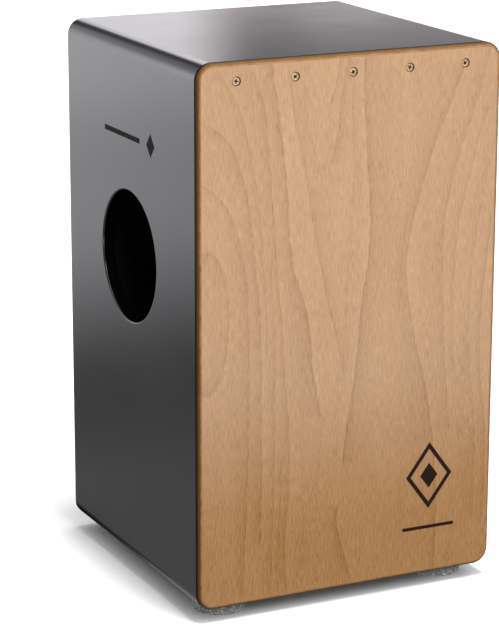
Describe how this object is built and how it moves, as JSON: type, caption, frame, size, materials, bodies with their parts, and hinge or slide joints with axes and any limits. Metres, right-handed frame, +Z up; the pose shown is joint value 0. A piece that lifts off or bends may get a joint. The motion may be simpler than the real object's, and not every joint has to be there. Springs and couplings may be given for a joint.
{
  "type": "cajon",
  "caption": "Box drum its player sits on: dark board shell with a round side sound hole, a veneered front plate to strike, granulate feet and a removable snare unit inside.",
  "frame": {"origin": "middle of the cajon's footprint, on the floor that its feet stand on", "axes": "+X to the right of someone who faces the playing face, -Y out of the playing face, +Z up"},
  "size_m": [0.3, 0.2916, 0.5064],
  "materials": {
    "lacquer": "satin dark grey lacquer on plywood",
    "beech_veneer": "clear satin beech veneer on plywood",
    "back_ply": "dark stained plywood",
    "hardwood": "raw sanded hardwood",
    "foot_granulate": "matt light grey bonded rubber granulate",
    "pad_rubber": "matt black rubber",
    "steel": "bright zinc-plated steel",
    "brassed_steel": "yellow-passivated screw heads"
  },
  "bodies": {
    "shell": {"top_panel": "lacquer", "bottom_panel": "lacquer", "left_side_panel": "lacquer", "right_side_panel": "lacquer", "back_panel": "back_ply", "front_plate": "beech_veneer", "front_top_batten": "hardwood", "front_bottom_batten": "hardwood", "glue_strip_top_left": "hardwood", "glue_strip_top_right": "hardwood", "glue_strip_bottom_left": "hardwood", "glue_strip_bottom_right": "hardwood", "plate_screws": "brassed_steel", "foot_front_left": "foot_granulate", "foot_front_right": "foot_granulate", "foot_rear_left": "foot_granulate", "foot_rear_right": "foot_granulate", "foot_washers": "steel", "foot_screws": "steel", "bracket_left": "hardwood", "bracket_right": "hardwood", "bracket_pad_left": "pad_rubber", "bracket_pad_right": "pad_rubber", "bracket_screws": "steel"},
    "snare_unit": {"snare_rail": "hardwood", "snare_clamp_left": "steel", "snare_clamp_right": "steel", "snare_wires_left": "steel", "snare_wires_right": "steel", "clamp_screws": "steel"}
  },
  "joints": [
    {"name": "snare_unit_slide", "type": "slide", "parent": "shell", "child": "snare_unit", "axis": [0, 1, 0], "range_m": [0, 0.06]}
  ]
}
